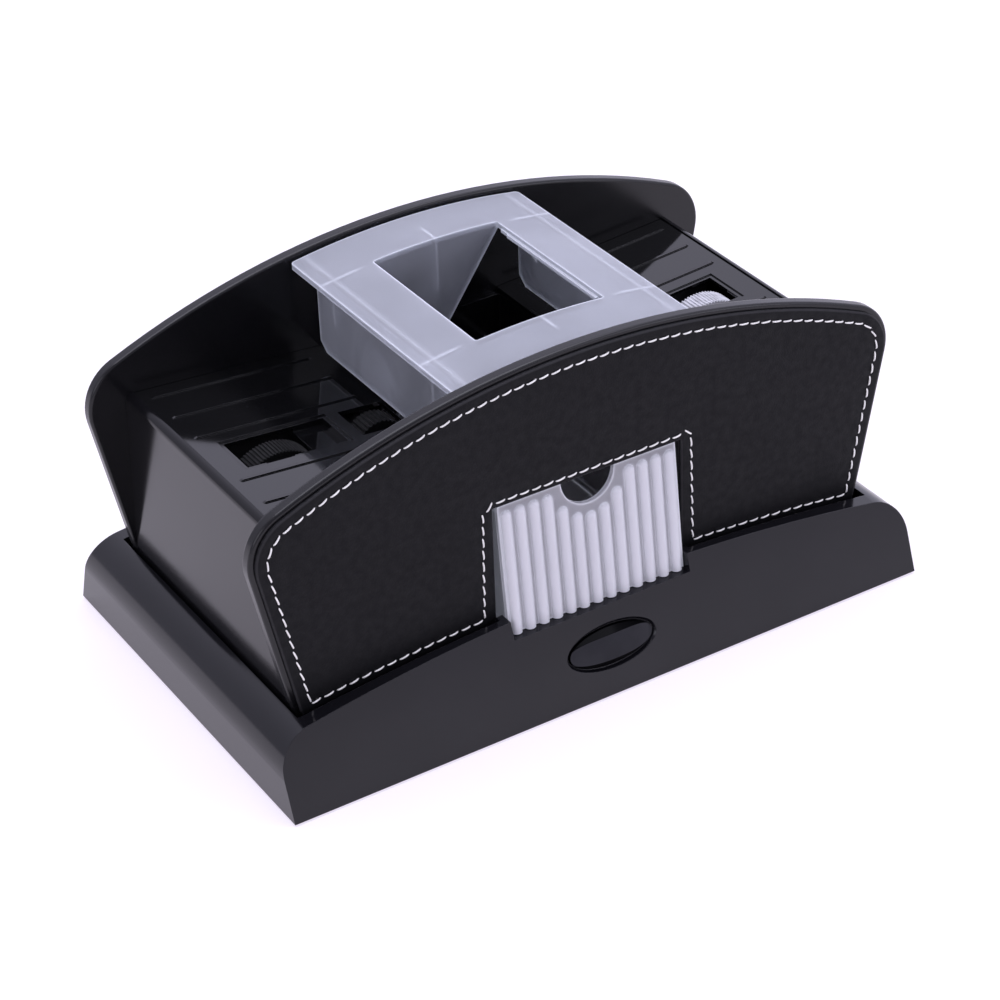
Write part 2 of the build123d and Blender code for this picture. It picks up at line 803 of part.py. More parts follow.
def centre_distance(teeth, other_teeth):
    return gear_module * (teeth + other_teeth) / 2


idler_axle = circle_meeting(
    feed_axle,
    centre_distance(feed_teeth, idler_small_teeth),
    ejector_axle,
    centre_distance(ejector_teeth, idler_small_teeth),
)
pinion_distance = centre_distance(idler_large_teeth, pinion_teeth)
motor_axle = (
    idler_axle[0] + motor_offset_x,
    idler_axle[1] - sqrt(pinion_distance**2 - motor_offset_x**2),
)

idler_angle = 0.0
feed_angle = meshing_angle(idler_axle, idler_small_teeth, idler_angle, feed_axle, feed_teeth)
ejector_angle = meshing_angle(
    idler_axle, idler_small_teeth, idler_angle, ejector_axle, ejector_teeth
)
pinion_angle = meshing_angle(idler_axle, idler_large_teeth, idler_angle, motor_axle, pinion_teeth)



def drive_frame():
    """Moulded cradle: two bearing plates joined by a floor."""
    outer_x, inner_x = frame_x
    outline = polygon(
        (outer_x, side_floor_z), (outer_x, 86.3), (inner_x, 81.6), (inner_x, side_floor_z)
    )
    frame = block(outer_x, inner_x, frame_front_y[0], frame_back_y[1], side_floor_z, frame_floor_top)
    frame += along_y(outline, *frame_front_y)
    frame += along_y(outline, *frame_back_y)
    for axle in (feed_axle, ejector_axle):
        frame -= rod_y(*axle, bush_radius, -30, 30)
    frame -= rod_y(*idler_axle, axle_radius, 0, 30)
    frame -= rod_y(*motor_axle, motor_boss_radius + running_clearance, 0, 30)
    for offset_x in motor_screw_offsets:
        frame -= rod_y(motor_axle[0] + offset_x, motor_axle[1], 1.1, 0, 30)
    # openings that lighten the front plate
    for x, z in ((-68, 46), (-90, 46), (-66, 68)):
        frame -= rod_y(x, z, 8, -30, 0)
    for x, y in frame_screw_places:
        frame -= rod_z(x, y, pilot_radius, 20, 30)
    return frame


def frame_screws():
    """Screws that hold both drive frames down on the shell's floor."""
    screws = []
    for x, y in frame_screw_places:
        screw = rod_z(x, y, 2.4, frame_floor_top, frame_floor_top + 1.4)
        screws.append(screw + rod_z(x, y, 1.05, side_floor_z - 1.8, frame_floor_top))
    return group(screws)


def shaft_bushes():
    """Flanged bushes at both ends of the feed shaft and the ejector shaft."""
    bushes = []
    for axle in (feed_axle, ejector_axle):
        for low, high, outside in ((*frame_front_y, -1), (*frame_back_y, 1)):
            bush = rod_y(*axle, bush_radius, low, high)
            flange_face = low if outside < 0 else high
            flange = sorted((flange_face, flange_face + 0.7 * outside))
            bush += rod_y(*axle, bush_radius + 0.9, *flange)
            bush -= rod_y(*axle, axle_radius + running_clearance, -40, 40)
            bushes.append(bush)
    return group(bushes)


def idler_pin():
    """Fixed pin through the back plate, with a head at each end."""
    head_radius = 3.2
    pin = rod_y(*idler_axle, axle_radius, 12.8, 26.6)
    pin += rod_y(*idler_axle, head_radius, 26.4, 27.8)
    return pin + rod_y(*idler_axle, head_radius, 12.6, frame_back_y[0])


def idler_gear():
    """Compound gear: the small one meets both rollers' gears, the large one the pinion."""
    small = along_y(gear_outline(idler_axle, idler_small_teeth, idler_angle), *small_gear_y)
    large = along_y(gear_outline(idler_axle, idler_large_teeth, idler_angle), *large_gear_y)
    hub = rod_y(*idler_axle, 5.0, frame_back_y[1] + 0.2, 26.2)
    return small + large + hub - rod_y(*idler_axle, axle_radius + running_clearance, 0, 40)


def shaft_gear(axle, teeth, tooth_angle):
    gear = along_y(gear_outline(axle, teeth, tooth_angle), *small_gear_y)
    return gear - rod_y(*axle, axle_radius, 0, 40)


def knurled_tyre(axle, radius, inner_radius, span, ridges):
    """Rubber tread with ridges along its width."""
    points = []
    for ridge in range(ridges):
        middle = 2 * pi * ridge / ridges
        quarter = 2 * pi / ridges / 4
        groove = radius - ridge_depth
        profile = ((groove, -1.5), (radius, -0.6), (radius, 0.6), (groove, 1.5))
        for reach, offset_steps in profile:
            angle = middle + offset_steps * quarter
            points.append((axle[0] + reach * cos(angle), axle[1] + reach * sin(angle)))
    return along_y(polygon(*points), *span) - rod_y(*axle, inner_radius, -40, 40)


def roller_shaft(axle):
    return rod_y(*axle, axle_radius, frame_front_y[0] - 1.4, small_gear_y[1] + 0.4)


def roller_hub(axle, rim_radius, span, sleeve_radius):
    """A rim under the tyre, on a sleeve that fills the space between the bushes."""
    hub = rod_y(*axle, rim_radius, *span)
    hub += rod_y(*axle, sleeve_radius, frame_front_y[1] + 0.3, frame_back_y[0] - 0.3)
    return hub - rod_y(*axle, axle_radius, -40, 40)


def feed_hub():
    """The feed roller's hub, lightened by a ring of holes."""
    hub = roller_hub(feed_axle, feed_rim_radius, feed_roller_y, 4.6)
    hole_count, hole_circle, hole_radius = 5, 8.7, 2.6
    for step in range(hole_count):
        angle = 2 * pi * step / hole_count
        x = feed_axle[0] + hole_circle * cos(angle)
        z = feed_axle[1] + hole_circle * sin(angle)
        hub -= rod_y(x, z, hole_radius, -40, 40)
    return hub


def motor_can():
    """A flat-sided motor with its bearing boss, brush cap and terminals."""
    can = rod_y(*motor_axle, motor_radius, motor_back_y, frame_back_y[0])
    x, z = motor_axle
    flat_half = 9.6
    can &= block(x - 20, x + 20, -40, 40, z - flat_half, z + flat_half)
    can += rod_y(*motor_axle, motor_boss_radius, frame_back_y[0] - 0.5, frame_back_y[1] - 0.4)
    can -= rod_y(*motor_axle, motor_shaft_radius + running_clearance, 2, 30)
    for offset_x in motor_screw_offsets:
        can -= rod_y(x + offset_x, z, 0.9, 10, 30)
    can += rod_y(*motor_axle, 5.0, motor_back_y - 1.6, motor_back_y)
    tab_end = motor_back_y - 1.8
    for tab_x in (x - 7.5, x + 7.5):
        can += block(tab_x - 1, tab_x + 1, tab_end, motor_back_y, z - 0.3, z + 0.3)
    return can


def motor_shaft():
    return rod_y(*motor_axle, motor_shaft_radius, 3, large_gear_y[1] + 0.6)


def motor_pinion():
    pinion = along_y(gear_outline(motor_axle, pinion_teeth, pinion_angle), *large_gear_y)
    return pinion - rod_y(*motor_axle, motor_shaft_radius, 0, 40)


def motor_screws():
    """Two screws through the back plate into the motor's face."""
    screws = []
    seat = frame_back_y[1]
    for offset_x in motor_screw_offsets:
        x, z = motor_axle[0] + offset_x, motor_axle[1]
        screw = rod_y(x, z, 1.8, seat, seat + 0.7)
        screws.append(screw + rod_y(x, z, 0.85, 10.5, seat))
    return group(screws)


# ---------------------------------------------------------------- batteries
def battery_holder():
    """A box over the cells, open underneath, with low walls between them."""
    x0, x1 = holder_x
    wall = holder_wall
    top = side_floor_z - 4
    holder = block(x0, x1, -holder_half_y, holder_half_y, bottom_cover_top, top)
    holder -= block(
        x0 + wall, x1 - wall, wall - holder_half_y, holder_half_y - wall, 0, top - wall
    )
    for left, right in zip(cell_xs, cell_xs[1:]):
        middle = (left + right) / 2
        holder += block(middle - 0.3, middle + 0.3, -22, 22, cell_z + 5, top - wall + 0.2)
    return holder


def cell_direction(index):
    """Neighbouring cells lie head to tail."""
    return 1 if index % 2 == 0 else -1


def battery_cells():
    cells = []
    for index, x in enumerate(cell_xs):
        way = cell_direction(index)
        body = rod_y(x, cell_z, cell_radius, -cell_half_length, cell_half_length)
        nub = sorted((way * cell_half_length, way * (cell_half_length + cell_nub_length)))
        cells.append(body + rod_y(x, cell_z, 2.6, *nub))
    return group(cells)


def battery_contacts():
    """A flat tab at each cell's nub and a cone spring at its other end."""
    contacts = []
    inner_y = holder_half_y - holder_wall
    tab_face = inner_y - 0.5
    tab_half = 5.0
    for index, x in enumerate(cell_xs):
        way = cell_direction(index)
        across = (x - tab_half, x + tab_half)
        upright = (cell_z - tab_half, cell_z + tab_half)
        tab = block(*across, *sorted((way * tab_face, way * inner_y)), *upright)
        bump = sorted((way * (cell_half_length + cell_nub_length), way * tab_face))
        contacts.append(tab + rod_y(x, cell_z, 2.2, *bump))
        tab = block(*across, *sorted((-way * tab_face, -way * inner_y)), *upright)
        length = tab_face - cell_half_length
        cone = Cone(4.2, 2.2, length)
        turn = Rot(90 * way, 0, 0)
        cone = Pos(x, -way * (cell_half_length + length / 2), cell_z) * turn * cone
        contacts.append(tab + cone)
    return group(contacts)


# ---------------------------------------------------------------- write every node
def main():
    os.makedirs("parts", exist_ok=True)
    single = {
        "base_housing": base_housing,
        "base_bottom_cover": base_bottom_cover,
        "battery_door": battery_door,
        "rubber_feet": rubber_feet,
        "bottom_screws": bottom_screws,
        "body_shell": body_shell,
        "panel_screws": panel_screws,
        "frame_screws": frame_screws,
        "top_cover": top_cover,
        "card_drawer": card_drawer,
        "start_button": start_button,
        "button_spring": button_spring,
        "switch_bracket": switch_bracket,
        "bracket_screws": bracket_screws,
        "start_switch": start_switch,
        "switch_plunger": switch_plunger,
        "battery_holder": battery_holder,
        "battery_cells": battery_cells,
        "battery_contacts": battery_contacts,
    }
    for name, make in single.items():
        save(name, make())

    save("side_panel_front", side_panel(-1, cutout=True))
    save("side_panel_back", side_panel(1, cutout=False))
    save("leather_pad_front", leather_pad(-1, cutout=True))
    save("leather_pad_back", leather_pad(1, cutout=False))

    feed_gear = shaft_gear(feed_axle, feed_teeth, feed_angle)
    ejector_gear = shaft_gear(ejector_axle, ejector_teeth, ejector_angle)
    one_per_side = {
        "feed_platform": feed_platform_left(),
        "drive_frame": drive_frame(),
        "shaft_bushes": shaft_bushes(),
        "idler_pin": idler_pin(),
        "idler_gear": idler_gear(),
        "feed_shaft": roller_shaft(feed_axle),
        "feed_hub": feed_hub(),
        "feed_tyre": knurled_tyre(
            feed_axle, feed_roller_radius, feed_rim_radius, feed_roller_y, feed_ridges
        ),
        "feed_gear": feed_gear,
        "ejector_shaft": roller_shaft(ejector_axle),
        "ejector_hub": roller_hub(ejector_axle, ejector_rim_radius, ejector_roller_y, 3.8),
        "ejector_tyre": knurled_tyre(
            ejector_axle, ejector_roller_radius, ejector_rim_radius, ejector_roller_y, ejector_ridges
        ),
        "ejector_gear": ejector_gear,
        "motor_can": motor_can(),
        "motor_shaft": motor_shaft(),
        "motor_pinion": motor_pinion(),
        "motor_screws": motor_screws(),
    }
    for name, shape in one_per_side.items():
        save(f"{name}_left", shape)
        save(f"{name}_right", mirror(shape, about=Plane.YZ))


if __name__ == "__main__":
    main()
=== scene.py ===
"""Looks for the card shuffler: materials, stitched leather panels, light and camera.
"""

import json
import math
import random

import bmesh
import bpy
from mathutils import Matrix, Vector, noise
from mathutils.geometry import delaunay_2d_cdt


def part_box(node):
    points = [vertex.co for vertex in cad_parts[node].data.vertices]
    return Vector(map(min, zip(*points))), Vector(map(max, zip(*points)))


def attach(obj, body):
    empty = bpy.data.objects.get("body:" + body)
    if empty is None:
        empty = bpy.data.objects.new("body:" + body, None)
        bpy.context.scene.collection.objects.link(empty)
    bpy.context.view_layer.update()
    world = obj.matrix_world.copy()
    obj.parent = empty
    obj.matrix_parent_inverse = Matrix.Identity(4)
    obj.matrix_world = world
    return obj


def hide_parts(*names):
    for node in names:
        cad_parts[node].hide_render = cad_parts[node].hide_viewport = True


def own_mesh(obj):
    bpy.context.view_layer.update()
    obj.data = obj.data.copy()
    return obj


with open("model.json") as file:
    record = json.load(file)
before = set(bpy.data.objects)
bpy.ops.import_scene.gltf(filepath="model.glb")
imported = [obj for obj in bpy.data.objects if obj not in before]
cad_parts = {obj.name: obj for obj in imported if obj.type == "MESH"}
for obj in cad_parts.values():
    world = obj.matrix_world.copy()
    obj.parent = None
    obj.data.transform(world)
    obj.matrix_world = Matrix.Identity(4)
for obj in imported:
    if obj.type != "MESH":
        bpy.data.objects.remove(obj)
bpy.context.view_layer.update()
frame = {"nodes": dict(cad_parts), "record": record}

nodes = frame["nodes"]
MM = 0.001
RANGE_SOCKETS = ("From Min", "From Max", "To Min", "To Max")
# outwards from the drawer's sloping front, and from the base's front face where the button sits
DRAWER_NORMAL = (0, -0.9939, 0.1102)
BUTTON_NORMAL = (0, -0.9439, 0.3304)
random.seed(11)


# ---------------------------------------------------------------- camera
CAMERA_PLACE = Vector((-0.4440, -0.7375, 0.5919))
CAMERA_RIGHT = Vector((0.84479, -0.53406, -0.03070))
CAMERA_UP = Vector((0.31183, 0.44512, 0.83939))
FOCAL_LENGTH = 106.2
SENSOR_WIDTH = 36.0


def make_camera():
    """The camera that sees the object from the front left, a little above."""
    data = bpy.data.cameras.new("camera")
    data.lens = FOCAL_LENGTH
    data.sensor_width = SENSOR_WIDTH
    data.clip_start = 0.01
    data.clip_end = 50
    camera = bpy.data.objects.new("camera", data)
    right = CAMERA_RIGHT.normalized()
    back = right.cross(CAMERA_UP).normalized()
    up = back.cross(right)
    turn = Matrix((right, up, back)).transposed().to_4x4()
    camera.matrix_world = Matrix.Translation(CAMERA_PLACE) @ turn
    bpy.context.scene.collection.objects.link(camera)
    bpy.context.scene.camera = camera


# ---------------------------------------------------------------- shader building
class Look:
    """A Principled material that procedural detail is added to, in object coordinates (metres)."""

    def __init__(self, name, colour, roughness, **inputs):
        self.material = bpy.data.materials.new(name)
        self.material.use_nodes = True
        self.tree = self.material.node_tree
        self.bsdf = self.tree.nodes["Principled BSDF"]
        self.colour = colour
        self.set("Base Color", (*colour, 1))
        self.set("Roughness", roughness)
        for key, value in inputs.items():
            self.set(key.replace("_", " ").title().replace("Ior", "IOR"), value)
        self.place = self.add("ShaderNodeTexCoord").outputs["Object"]
        self.normal = None

    def set(self, socket, value):
        """Sets a value on the shader's own socket."""
        self.bsdf.inputs[socket].default_value = value

    def add(self, kind, **values):
        """A new node, with its settings or its named inputs given as keywords."""
        node = self.tree.nodes.new(kind)
        for key, value in values.items():
            if hasattr(node, key):
                setattr(node, key, value)
            else:
                node.inputs[key.replace("_", " ").title()].default_value = value
        return node

    def link(self, source, target):
        self.tree.links.new(source, target)

    def stretched(self, scale):
        """Coordinates scaled per axis, for brushed or drawn surfaces."""
        mapping = self.add("ShaderNodeMapping")
        mapping.inputs["Scale"].default_value = scale
        self.link(self.place, mapping.inputs["Vector"])
        return mapping.outputs["Vector"]

    def noise(self, size, detail=3, place=None, distortion=0.0):
        """Noise whose features are about size metres across."""
        node = self.add("ShaderNodeTexNoise")
        node.inputs["Scale"].default_value = 1 / size
        node.inputs["Detail"].default_value = detail
        node.inputs["Distortion"].default_value = distortion
        self.link(place or self.place, node.inputs["Vector"])
        return node.outputs["Fac"]

    def cells(self, size, feature="F1", place=None):
        """Distances in a pattern of cells about size metres across."""
        node = self.add("ShaderNodeTexVoronoi")
        node.feature = feature
        node.inputs["Scale"].default_value = 1 / size
        self.link(place or self.place, node.inputs["Vector"])
        return node.outputs["Distance"]

    def ramp(self, value, low, high, out_low=0.0, out_high=1.0):
        """Takes low..high to out_low..out_high in a straight line, held at both ends."""
        node = self.add("ShaderNodeMapRange")
        numbers = (low, high, out_low, out_high)
        for socket, number in zip(RANGE_SOCKETS, numbers):
            node.inputs[socket].default_value = number
        self.link(value, node.inputs["Value"])
        return node.outputs["Result"]

    def mix_colour(self, factor, first, second):
        """Mixes two colours, or an output and a colour, by a factor output."""
        node = self.add("ShaderNodeMix", data_type="RGBA")
        self.link(factor, node.inputs[0])
        for socket, value in ((node.inputs[6], first), (node.inputs[7], second)):
            if hasattr(value, "is_linked"):
                self.link(value, socket)
            else:
                socket.default_value = (*value, 1)
        return node.outputs[2]

    def bump(self, height, strength, distance):
        """Lays one more relief over the reliefs before it."""
        node = self.add("ShaderNodeBump")
        node.inputs["Strength"].default_value = strength
        node.inputs["Distance"].default_value = distance
        self.link(height, node.inputs["Height"])
        if self.normal:
            self.link(self.normal, node.inputs["Normal"])
        self.normal = node.outputs["Normal"]

    def soft_edges(self, radius):
        """Rounds hard CAD edges in the shading."""
        node = self.add("ShaderNodeBevel")
        node.samples = 4
        node.inputs["Radius"].default_value = radius
        self.normal = node.outputs["Normal"]
        return self

    def math(self, operation, first, second=None):
        """A Math node on outputs or plain numbers."""
        node = self.add("ShaderNodeMath", operation=operation)
        for socket, value in zip(node.inputs, (first, second)):
            if value is None:
                continue
            if hasattr(value, "is_linked"):
                self.link(value, socket)
            else:
                socket.default_value = value
        return node.outputs[0]

    def product(self, *factors):
        """All the factors multiplied together; the first is an output."""
        result = factors[0]
        for factor in factors[1:]:
            result = self.math("MULTIPLY", result, factor)
        return result

    def axes(self):
        """The x, y and z of the point, as three outputs."""
        apart = self.add("ShaderNodeSeparateXYZ")
        self.link(self.place, apart.inputs[0])
        return apart.outputs["X"], apart.outputs["Y"], apart.outputs["Z"]

    def dot(self, vector, direction):
        """How far a vector output reaches along a direction, plain or an output."""
        node = self.add("ShaderNodeVectorMath", operation="DOT_PRODUCT")
        self.link(vector, node.inputs[0])
        if hasattr(direction, "is_linked"):
            self.link(direction, node.inputs[1])
        else:
            node.inputs[1].default_value = direction
        return node.outputs["Value"]

    def face_normal(self):
        """The surface's normal, before any relief."""
        return self.add("ShaderNodeNewGeometry").outputs["Normal"]

    def band(self, value, low, high, soft):
        """1 where the value lies between low and high, fading out over soft."""
        rising = self.ramp(value, low - soft, low + soft)
        falling = self.ramp(value, high - soft, high + soft, 1.0, 0.0)
        return self.product(rising, falling)

    def edge_mask(self, radius, patches=(0.42, 0.62)):
        """1 along hard edges, broken up by noise, 0 on flat faces."""
        bevel = self.add("ShaderNodeBevel")
        bevel.samples = 4
        bevel.inputs["Radius"].default_value = radius
        edge = self.ramp(self.dot(bevel.outputs["Normal"], self.face_normal()), 0.995, 0.90)
        patchy = self.ramp(self.noise(4 * MM, 4), *patches)
        return self.product(edge, patchy)

    def varied(self, spread, size=12 * MM, wear=None, wear_colour=None):
        """Base colour that drifts by spread, and is lighter where worn."""
        low = [c * (1 - spread) for c in self.colour]
        high = [min(1, c * (1 + spread)) for c in self.colour]
        colour = self.mix_colour(self.ramp(self.noise(size, 4), 0.35, 0.65), low, high)
        if wear is not None:
            colour = self.mix_colour(wear, colour, wear_colour)
        self.link(colour, self.bsdf.inputs["Base Color"])
        return self

    def varied_roughness(self, low, high, size=6 * MM, place=None):
        """Roughness that drifts between low and high."""
        value = self.ramp(self.noise(size, 5, place), 0.35, 0.65, low, high)
        self.link(value, self.bsdf.inputs["Roughness"])
        return self

    def done(self):
        """The finished material."""
        if self.normal:
            self.link(self.normal, self.bsdf.inputs["Normal"])
        return self.material


def gloss_plastic(name, colour, roughness, grain=0.02, edge=0.35 * MM, shine=0.5):
    """Polished moulding: faint waviness, a fine dust-like grain and paler, worn edges."""
    look = Look(name, colour, roughness[0], specular_ior_level=shine)
    look.soft_edges(edge)
    look.bump(look.noise(60 * MM, 0), 0.02, 1.0 * MM)
    look.bump(look.noise(0.35 * MM, 2), grain, 0.05 * MM)
    worn = look.edge_mask(0.4 * MM)
    paler = [c * 1.8 + 0.006 for c in colour]
    look.varied(0.12, 40 * MM, wear=worn, wear_colour=paler)
    look.varied_roughness(*roughness, size=30 * MM)
    return look.done()


def button_plastic(name, shoulder, crown, roughness):
    """Glossy cap: near-black on its shoulders, painted paler on its crown as a painted reflection."""
    look = Look(name, shoulder, roughness[0], specular_ior_level=0.03)
    look.soft_edges(0.3 * MM)
    look.bump(look.noise(0.35 * MM, 2), 0.01, 0.05 * MM)
    # painted reflection: the crown, found by which way it faces, is painted paler than the shoulders
    on_crown = look.ramp(look.dot(look.face_normal(), BUTTON_NORMAL), 0.80, 0.93)
    drift = look.ramp(look.noise(9 * MM, 3), 0.3, 0.7, 0.8, 1.0)
    painted_crown_reflection = look.product(on_crown, drift)
    look.link(look.mix_colour(painted_crown_reflection, shoulder, crown), look.bsdf.inputs["Base Color"])
    look.varied_roughness(*roughness, size=8 * MM)
    return look.done()


def matte_plastic(name, colour, roughness=(0.45, 0.6), spread=0.1, grain=0.25):
    """Spark-eroded moulding: an even fine texture."""
    look = Look(name, colour, roughness[0])
    look.soft_edges(0.3 * MM)
    look.bump(look.noise(0.5 * MM, 3), grain, 0.1 * MM)
    look.bump(look.cells(0.8 * MM), grain * 0.5, 0.08 * MM)
    look.varied(spread)
    look.varied_roughness(*roughness)
    return look.done()


FROST_CLEARNESS = 0.60
FROST_ROUGHNESS = (0.32, 0.42)


def frosted_plastic(name, colour, thick, glow=None, clearer=None, streaked=None):
    """Milky translucent moulding: whiter where it is thick, smoky in between; its edges are painted
    whiter and given a glow, a painted highlight and painted glow that stand in for light led through the
    plastic.

    thick, glow, clearer and streaked are functions of the look that say where those effects lie.
    """
    look = Look(name, colour, FROST_ROUGHNESS[0], ior=1.3, specular_ior_level=0.7)
    look.soft_edges(0.3 * MM)
    look.bump(look.noise(0.6 * MM, 3), 0.05, 0.05 * MM)
    smoke = look.ramp(look.noise(45 * MM, 2, distortion=0.6), 0.3, 0.7)
    edges = look.edge_mask(1.4 * MM, (0.0, 0.3))
    thickness_and_lit_edges = look.math("MAXIMUM", edges, thick(look))
    dim = [c * 0.93 for c in colour]
    body = look.mix_colour(smoke, dim, colour)
    if streaked:
        flow = look.noise(24 * MM, 3, look.stretched((1, 1, 0.5)), 1.0)
        streaks = look.product(look.ramp(flow, 0.44, 0.66, 0.0, 0.6), streaked(look))
        body = look.mix_colour(streaks, body, [c * 0.6 for c in colour])
    # painted highlight: the edges are painted in this whiter colour along with the thick parts, standing
    # in for light led through the plastic
    bright = [min(0.95, c * 1.25 + 0.05) for c in colour]
    look.link(look.mix_colour(thickness_and_lit_edges, body, bright), look.bsdf.inputs["Base Color"])
    thin = look.ramp(smoke, 0.0, 1.0, FROST_CLEARNESS + 0.03, FROST_CLEARNESS - 0.03)
    see_through = look.product(thin, look.ramp(thickness_and_lit_edges, 0.0, 1.0, 1.0, 0.35))
    if clearer:
        see_through = look.math("MAXIMUM", see_through, clearer(look))
    look.link(see_through, look.bsdf.inputs["Transmission Weight"])
    # painted glow: emission along the edges, and where glow says, stands in for light that is led
    # through the plastic and leaves by its edges
    look.set("Emission Color", (0.80, 0.84, 1.0, 1))
    painted_glow_strength = look.ramp(edges, 0.0, 1.0, 0.0, 0.10)
    if glow:
        painted_glow_strength = look.math("MAXIMUM", painted_glow_strength, glow(look))
    look.link(painted_glow_strength, look.bsdf.inputs["Emission Strength"])
    look.varied_roughness(*FROST_ROUGHNESS, size=20 * MM)
    return look.done()


def cover_thick_parts(look):
    """Where the cover's flange, skirts and guides have another wall or a gusset behind them."""
    x, y, z = look.axes()
    x = look.math("ABSOLUTE", x)
    y = look.math("ABSOLUTE", y)
    above_guide_feet = look.ramp(z, 102.5 * MM, 105 * MM)
    on_flange = look.ramp(z, 119.5 * MM, 120.5 * MM)
    skirts = look.product(look.band(x, 39.4 * MM, 41.0 * MM, 0.8 * MM), on_flange, 0.45)
    beside_window = look.ramp(x, 28 * MM, 33 * MM)
    gussets = look.product(look.band(y, 31.5 * MM, 32.5 * MM, 0.6 * MM), beside_window)
    struts = look.product(
        look.band(x, -1 * MM, 0.5 * MM, 0.6 * MM),
        look.band(y, 32.7 * MM, 42 * MM, 2 * MM),
    )
    inner = look.product(look.math("MAXIMUM", gussets, struts), above_guide_feet)
    return look.product(look.math("MAXIMUM", skirts, inner), 0.6)


def cover_low_parts(look):
    """The cover's skirts and guides, below its flange."""
    height = look.axes()[2]
    return look.ramp(height, 111 * MM, 117 * MM, 1.0, 0.0)


def drawer_thick_parts(look):
    """The drawer's ribs, which stand out from its sloping front."""
    return look.ramp(look.dot(look.place, DRAWER_NORMAL), 66.86 * MM, 67.3 * MM, 0.0, 0.9)


def drawer_clear_parts(look):
    """The drawer's walls behind its front, which are clearer than the front."""
    return look.ramp(look.dot(look.place, DRAWER_NORMAL), 64.2 * MM, 64.8 * MM, 0.92, 0.0)


def drawer_side_painted_glow(look):
    """Painted glow on the drawer's side walls, a little way back behind the side panel: emission that
    lights them where they lie in shade.
    """
    x, y, _ = look.axes()
    outer_face = look.ramp(look.math("ABSOLUTE", x), 33.7 * MM, 34.1 * MM, 0.0, 0.06)
    near_front = look.ramp(y, -52 * MM, -44 * MM, 1.0, 0.0)
    return look.product(outer_face, near_front)


def metal(name, colour, roughness, direction=(1, 1, 1)):
    """Drawn or turned metal: fine marks along its length."""
    look = Look(name, colour, roughness[0], metallic=1.0)
    look.soft_edges(0.15 * MM)
    drawn = look.stretched(direction)
    look.bump(look.noise(0.4 * MM, 3, drawn), 0.12, 0.05 * MM)
    look.varied(0.08, 5 * MM)
    look.varied_roughness(*roughness, size=1.5 * MM, place=drawn)
    return look.done()


def rubber(name, colour):
    """Moulded rubber: dull, finely pitted and dusty along its ridges."""
    look = Look(name, colour, 0.6, specular_ior_level=0.2)
    look.soft_edges(0.15 * MM)
    look.bump(look.noise(0.4 * MM, 4), 0.3, 0.1 * MM)
    dusty = look.edge_mask(0.3 * MM)
    look.varied(0.2, 3 * MM, wear=dusty, wear_colour=[c * 1.4 + 0.004 for c in colour])
    look.varied_roughness(0.5, 0.75, 2 * MM)
    return look.done()


def leather_face():
    """Fine-grained matt leather: small pebbles, creases between them and soft shade changes."""
    look = Look("leather_grain", (0.004, 0.004, 0.0045), 0.55, specular_ior_level=0.15)
    warped = look.add("ShaderNodeVectorMath", operation="ADD")
    wander = look.add("ShaderNodeTexNoise", scale=900.0)
    look.link(look.place, wander.inputs["Vector"])
    small = look.add("ShaderNodeVectorMath", operation="SCALE")
    small.inputs["Scale"].default_value = 0.9 * MM
    look.link(wander.outputs["Color"], small.inputs[0])
    look.link(look.place, warped.inputs[0])
    look.link(small.outputs["Vector"], warped.inputs[1])
    pebbles = look.cells(0.9 * MM, "DISTANCE_TO_EDGE", warped.outputs["Vector"])
    creases = look.ramp(pebbles, 0.0, 0.22)
    look.bump(look.noise(14 * MM, 3), 0.08, 0.5 * MM)
    look.bump(creases, 0.28, 0.12 * MM)
    look.bump(look.noise(0.35 * MM, 2), 0.12, 0.06 * MM)
    shade = look.ramp(look.noise(30 * MM, 4), 0.3, 0.7)
    colour = look.mix_colour(shade, (0.0047, 0.0047, 0.0057), (0.0057, 0.0057, 0.0068))
    # painted shade: the creases between the pebbles are painted darker
    colour = look.mix_colour(look.ramp(creases, 0.0, 1.0, 0.5, 0.0), colour, (0.002, 0.002, 0.0025))
    # the rounded lip, where its face turns away from the flat, is painted a little paler than the flat
    flatness = look.math("ABSOLUTE", look.dot(look.face_normal(), (0, 1, 0)))
    lip = look.ramp(flatness, 0.985, 0.92, 0.0, 0.8)
    colour = look.mix_colour(lip, colour, (0.024, 0.023, 0.025))
    look.link(colour, look.bsdf.inputs["Base Color"])
    look.varied_roughness(0.5, 0.66, 3 * MM)
    return look.done()


def leather_edge():
    """The cut edge: fibrous, its colour drifting in fine patches."""
    look = Look("leather_cut_edge", (0.014, 0.014, 0.016), 0.75, specular_ior_level=0.25)
    fibres = look.stretched((1, 3, 1))
    look.bump(look.noise(0.5 * MM, 5, fibres), 0.7, 0.25 * MM)
    look.varied(0.45, 0.9 * MM)
    return look.done()


def thread():
    """Waxed thread with its twist."""
    look = Look("stitch_thread", (0.92, 0.90, 0.86), 0.6, sheen_weight=0.3)
    look.bump(look.noise(0.18 * MM, 3, look.stretched((1, 1, 2.5))), 0.6, 0.12 * MM)
    look.varied(0.08, 6 * MM)
    look.varied_roughness(0.5, 0.7, 0.6 * MM)
    return look.done()


def cell_sleeve():
    """Plain battery sleeve: dark with a copper band towards one end, and no print."""
    look = Look("cell_sleeve", (0.02, 0.02, 0.022), 0.3)
    band = look.ramp(look.axes()[1], 12.8 * MM, 13.0 * MM)
    shade = look.mix_colour(look.noise(8 * MM), (0.02, 0.02, 0.022), (0.03, 0.03, 0.033))
    look.link(look.mix_colour(band, shade, (0.45, 0.2, 0.07)), look.bsdf.inputs["Base Color"])
    look.bump(look.noise(2 * MM, 2), 0.05, 0.1 * MM)
    look.varied_roughness(0.25, 0.4)
    return look.done()


# ---------------------------------------------------------------- leather panels
def welded(node):
    """A node's mesh as a bmesh with its split vertices joined again."""
    mesh = bmesh.new()
    mesh.from_mesh(nodes[node].data)
    bmesh.ops.remove_doubles(mesh, verts=mesh.verts, dist=1e-6)
    return mesh


